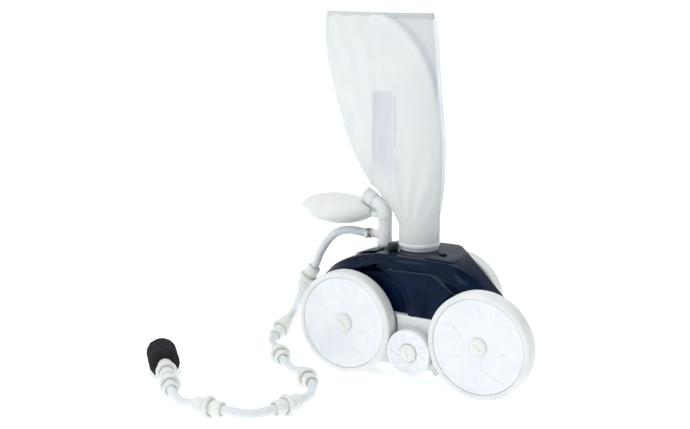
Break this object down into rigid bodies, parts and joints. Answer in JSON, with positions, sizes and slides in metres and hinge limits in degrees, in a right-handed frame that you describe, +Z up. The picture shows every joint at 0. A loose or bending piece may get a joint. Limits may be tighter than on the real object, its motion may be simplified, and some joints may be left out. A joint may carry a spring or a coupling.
{
  "type": "pool cleaner",
  "caption": "Wheeled pressure-side pool cleaner with a debris bag on a vacuum tube, a head float and a trailing sweep hose with wear rings.",
  "frame": {"origin": "on the floor under the middle of the cleaner's box, the sweep hose left out", "axes": "+X the way it drives, +Y towards the side with one wheel, +Z up"},
  "size_m": [0.6793, 0.5856, 0.6423],
  "materials": {
    "white_plastic": "satin moulded",
    "tyre": "matt white rubber",
    "navy_shell": "high gloss",
    "ivory_plastic": "satin moulded",
    "black_plastic": "satin moulded",
    "grey_plastic": "satin moulded",
    "stainless": "bright",
    "bag_cloth": "fine mesh",
    "hose_white": "smooth",
    "black_foam": "open cell foam"
  },
  "bodies": {
    "chassis": {"bag_collar": "white_plastic", "bag_top_binding": "bag_cloth", "base_tub": "white_plastic", "bobbin_1": "ivory_plastic", "bobbin_2": "ivory_plastic", "bobbin_3": "ivory_plastic", "bobbin_4": "ivory_plastic", "bobbin_5": "ivory_plastic", "bobbin_6": "ivory_plastic", "bobbin_7": "ivory_plastic", "bobbin_8": "ivory_plastic", "clamp_screw": "stainless", "debris_bag": "bag_cloth", "far_axle_screw": "ivory_plastic", "far_shaft_bearing": "black_plastic", "feed_mast": "white_plastic", "float_clip": "white_plastic", "foam_scrubber": "black_foam", "front_axle_screw": "ivory_plastic", "head_float": "white_plastic", "hose_clamp": "stainless", "idler_screw": "ivory_plastic", "mast_elbow": "white_plastic", "near_shaft_bearing": "black_plastic", "rear_axle_screw": "ivory_plastic", "sweep_hose": "hose_white", "top_shell": "navy_shell", "vacuum_tube": "white_plastic", "water_manifold": "grey_plastic"},
    "front_wheel": {"front_tyre": "tyre", "front_wheel_disc": "white_plastic", "front_bearing": "stainless"},
    "rear_wheel": {"rear_tyre": "tyre", "rear_wheel_disc": "white_plastic", "rear_bearing": "stainless"},
    "far_wheel": {"far_tyre": "tyre", "far_wheel_disc": "white_plastic", "far_bearing": "stainless"},
    "idler": {"idler_wheel": "white_plastic"},
    "drive": {"drive_shaft": "stainless", "turbine_wheel": "black_plastic"},
    "latch": {"deck_latch": "navy_shell"},
    "knob": {"flow_knob": "black_plastic"},
    "jet": {"thrust_jet": "black_plastic"},
    "inlet": {"inlet_swivel": "white_plastic"},
    "ring_1": {"wear_ring_1": "ivory_plastic"},
    "ring_2": {"wear_ring_2": "ivory_plastic"},
    "ring_3": {"wear_ring_3": "ivory_plastic"},
    "ring_4": {"wear_ring_4": "ivory_plastic"},
    "ring_5": {"wear_ring_5": "ivory_plastic"},
    "ring_6": {"wear_ring_6": "ivory_plastic"},
    "ring_7": {"wear_ring_7": "ivory_plastic"},
    "ring_8": {"wear_ring_8": "ivory_plastic"}
  },
  "joints": [
    {"name": "drive_spin", "type": "hinge", "parent": "chassis", "child": "drive", "pos_m": [0.0895, 0, 0.03284], "axis": [0, 1, 0], "continuous": true},
    {"name": "front_wheel_spin", "type": "hinge", "parent": "chassis", "child": "front_wheel", "pos_m": [0.169, -0.12, 0.094], "axis": [0, 1, 0], "continuous": true},
    {"name": "rear_wheel_spin", "type": "hinge", "parent": "chassis", "child": "rear_wheel", "pos_m": [-0.095, -0.12, 0.094], "axis": [0, 1, 0], "continuous": true},
    {"name": "far_wheel_spin", "type": "hinge", "parent": "chassis", "child": "far_wheel", "pos_m": [0.01, 0.12, 0.094], "axis": [0, 1, 0], "continuous": true},
    {"name": "idler_spin", "type": "hinge", "parent": "chassis", "child": "idler", "pos_m": [0.037, -0.124, 0.06001], "axis": [0, 1, 0], "continuous": true},
    {"name": "latch_turn", "type": "hinge", "parent": "chassis", "child": "latch", "pos_m": [0.05, -0.027, 0.2145], "axis": [0, 0, 1], "range_deg": [0, 90]},
    {"name": "knob_turn", "type": "hinge", "parent": "chassis", "child": "knob", "pos_m": [-0.05198, -0.02799, 0.2125], "axis": [0, 0, 1], "range_deg": [-120, 120]},
    {"name": "jet_tilt", "type": "hinge", "parent": "chassis", "child": "jet", "pos_m": [-0.1808, 0, 0.06], "axis": [0, 1, 0], "range_deg": [-15, 15]},
    {"name": "inlet_turn", "type": "hinge", "parent": "chassis", "child": "inlet", "pos_m": [-0.10612, 0, 0.29432], "axis": [-0.866, 0, 0.5], "continuous": true},
    {"name": "ring_1_spin", "type": "hinge", "parent": "chassis", "child": "ring_1", "pos_m": [-0.2484, -0.011, 0.129], "axis": [-0.4971, -0.0886, -0.8632], "continuous": true},
    {"name": "ring_2_spin", "type": "hinge", "parent": "chassis", "child": "ring_2", "pos_m": [-0.3, -0.033, 0.0225], "axis": [0.0838, -0.9441, -0.3189], "continuous": true},
    {"name": "ring_3_spin", "type": "hinge", "parent": "chassis", "child": "ring_3", "pos_m": [-0.216, -0.158, 0.0195], "axis": [0.7071, -0.7071, 0], "continuous": true},
    {"name": "ring_4_spin", "type": "hinge", "parent": "chassis", "child": "ring_4", "pos_m": [-0.107, -0.235, 0.0195], "axis": [0.7835, -0.6214, 0], "continuous": true},
    {"name": "ring_5_spin", "type": "hinge", "parent": "chassis", "child": "ring_5", "pos_m": [-0.067, -0.357, 0.0195], "axis": [-0.2651, -0.9642, 0], "continuous": true},
    {"name": "ring_6_spin", "type": "hinge", "parent": "chassis", "child": "ring_6", "pos_m": [-0.17, -0.43, 0.0195], "axis": [-0.9967, -0.0808, 0], "continuous": true},
    {"name": "ring_7_spin", "type": "hinge", "parent": "chassis", "child": "ring_7", "pos_m": [-0.29, -0.385, 0.0195], "axis": [-0.7159, 0.6971, 0.0376], "continuous": true},
    {"name": "ring_8_spin", "type": "hinge", "parent": "chassis", "child": "ring_8", "pos_m": [-0.329, -0.347, 0.024], "axis": [-0.7129, 0.6942, 0.0992], "continuous": true}
  ],
  "couplings": [
    {"joint": "rear_wheel_spin", "follows": "front_wheel_spin", "ratio": 1},
    {"joint": "far_wheel_spin", "follows": "front_wheel_spin", "ratio": 1},
    {"joint": "idler_spin", "follows": "front_wheel_spin", "ratio": -2.2377},
    {"joint": "drive_spin", "follows": "front_wheel_spin", "ratio": -15.667}
  ]
}
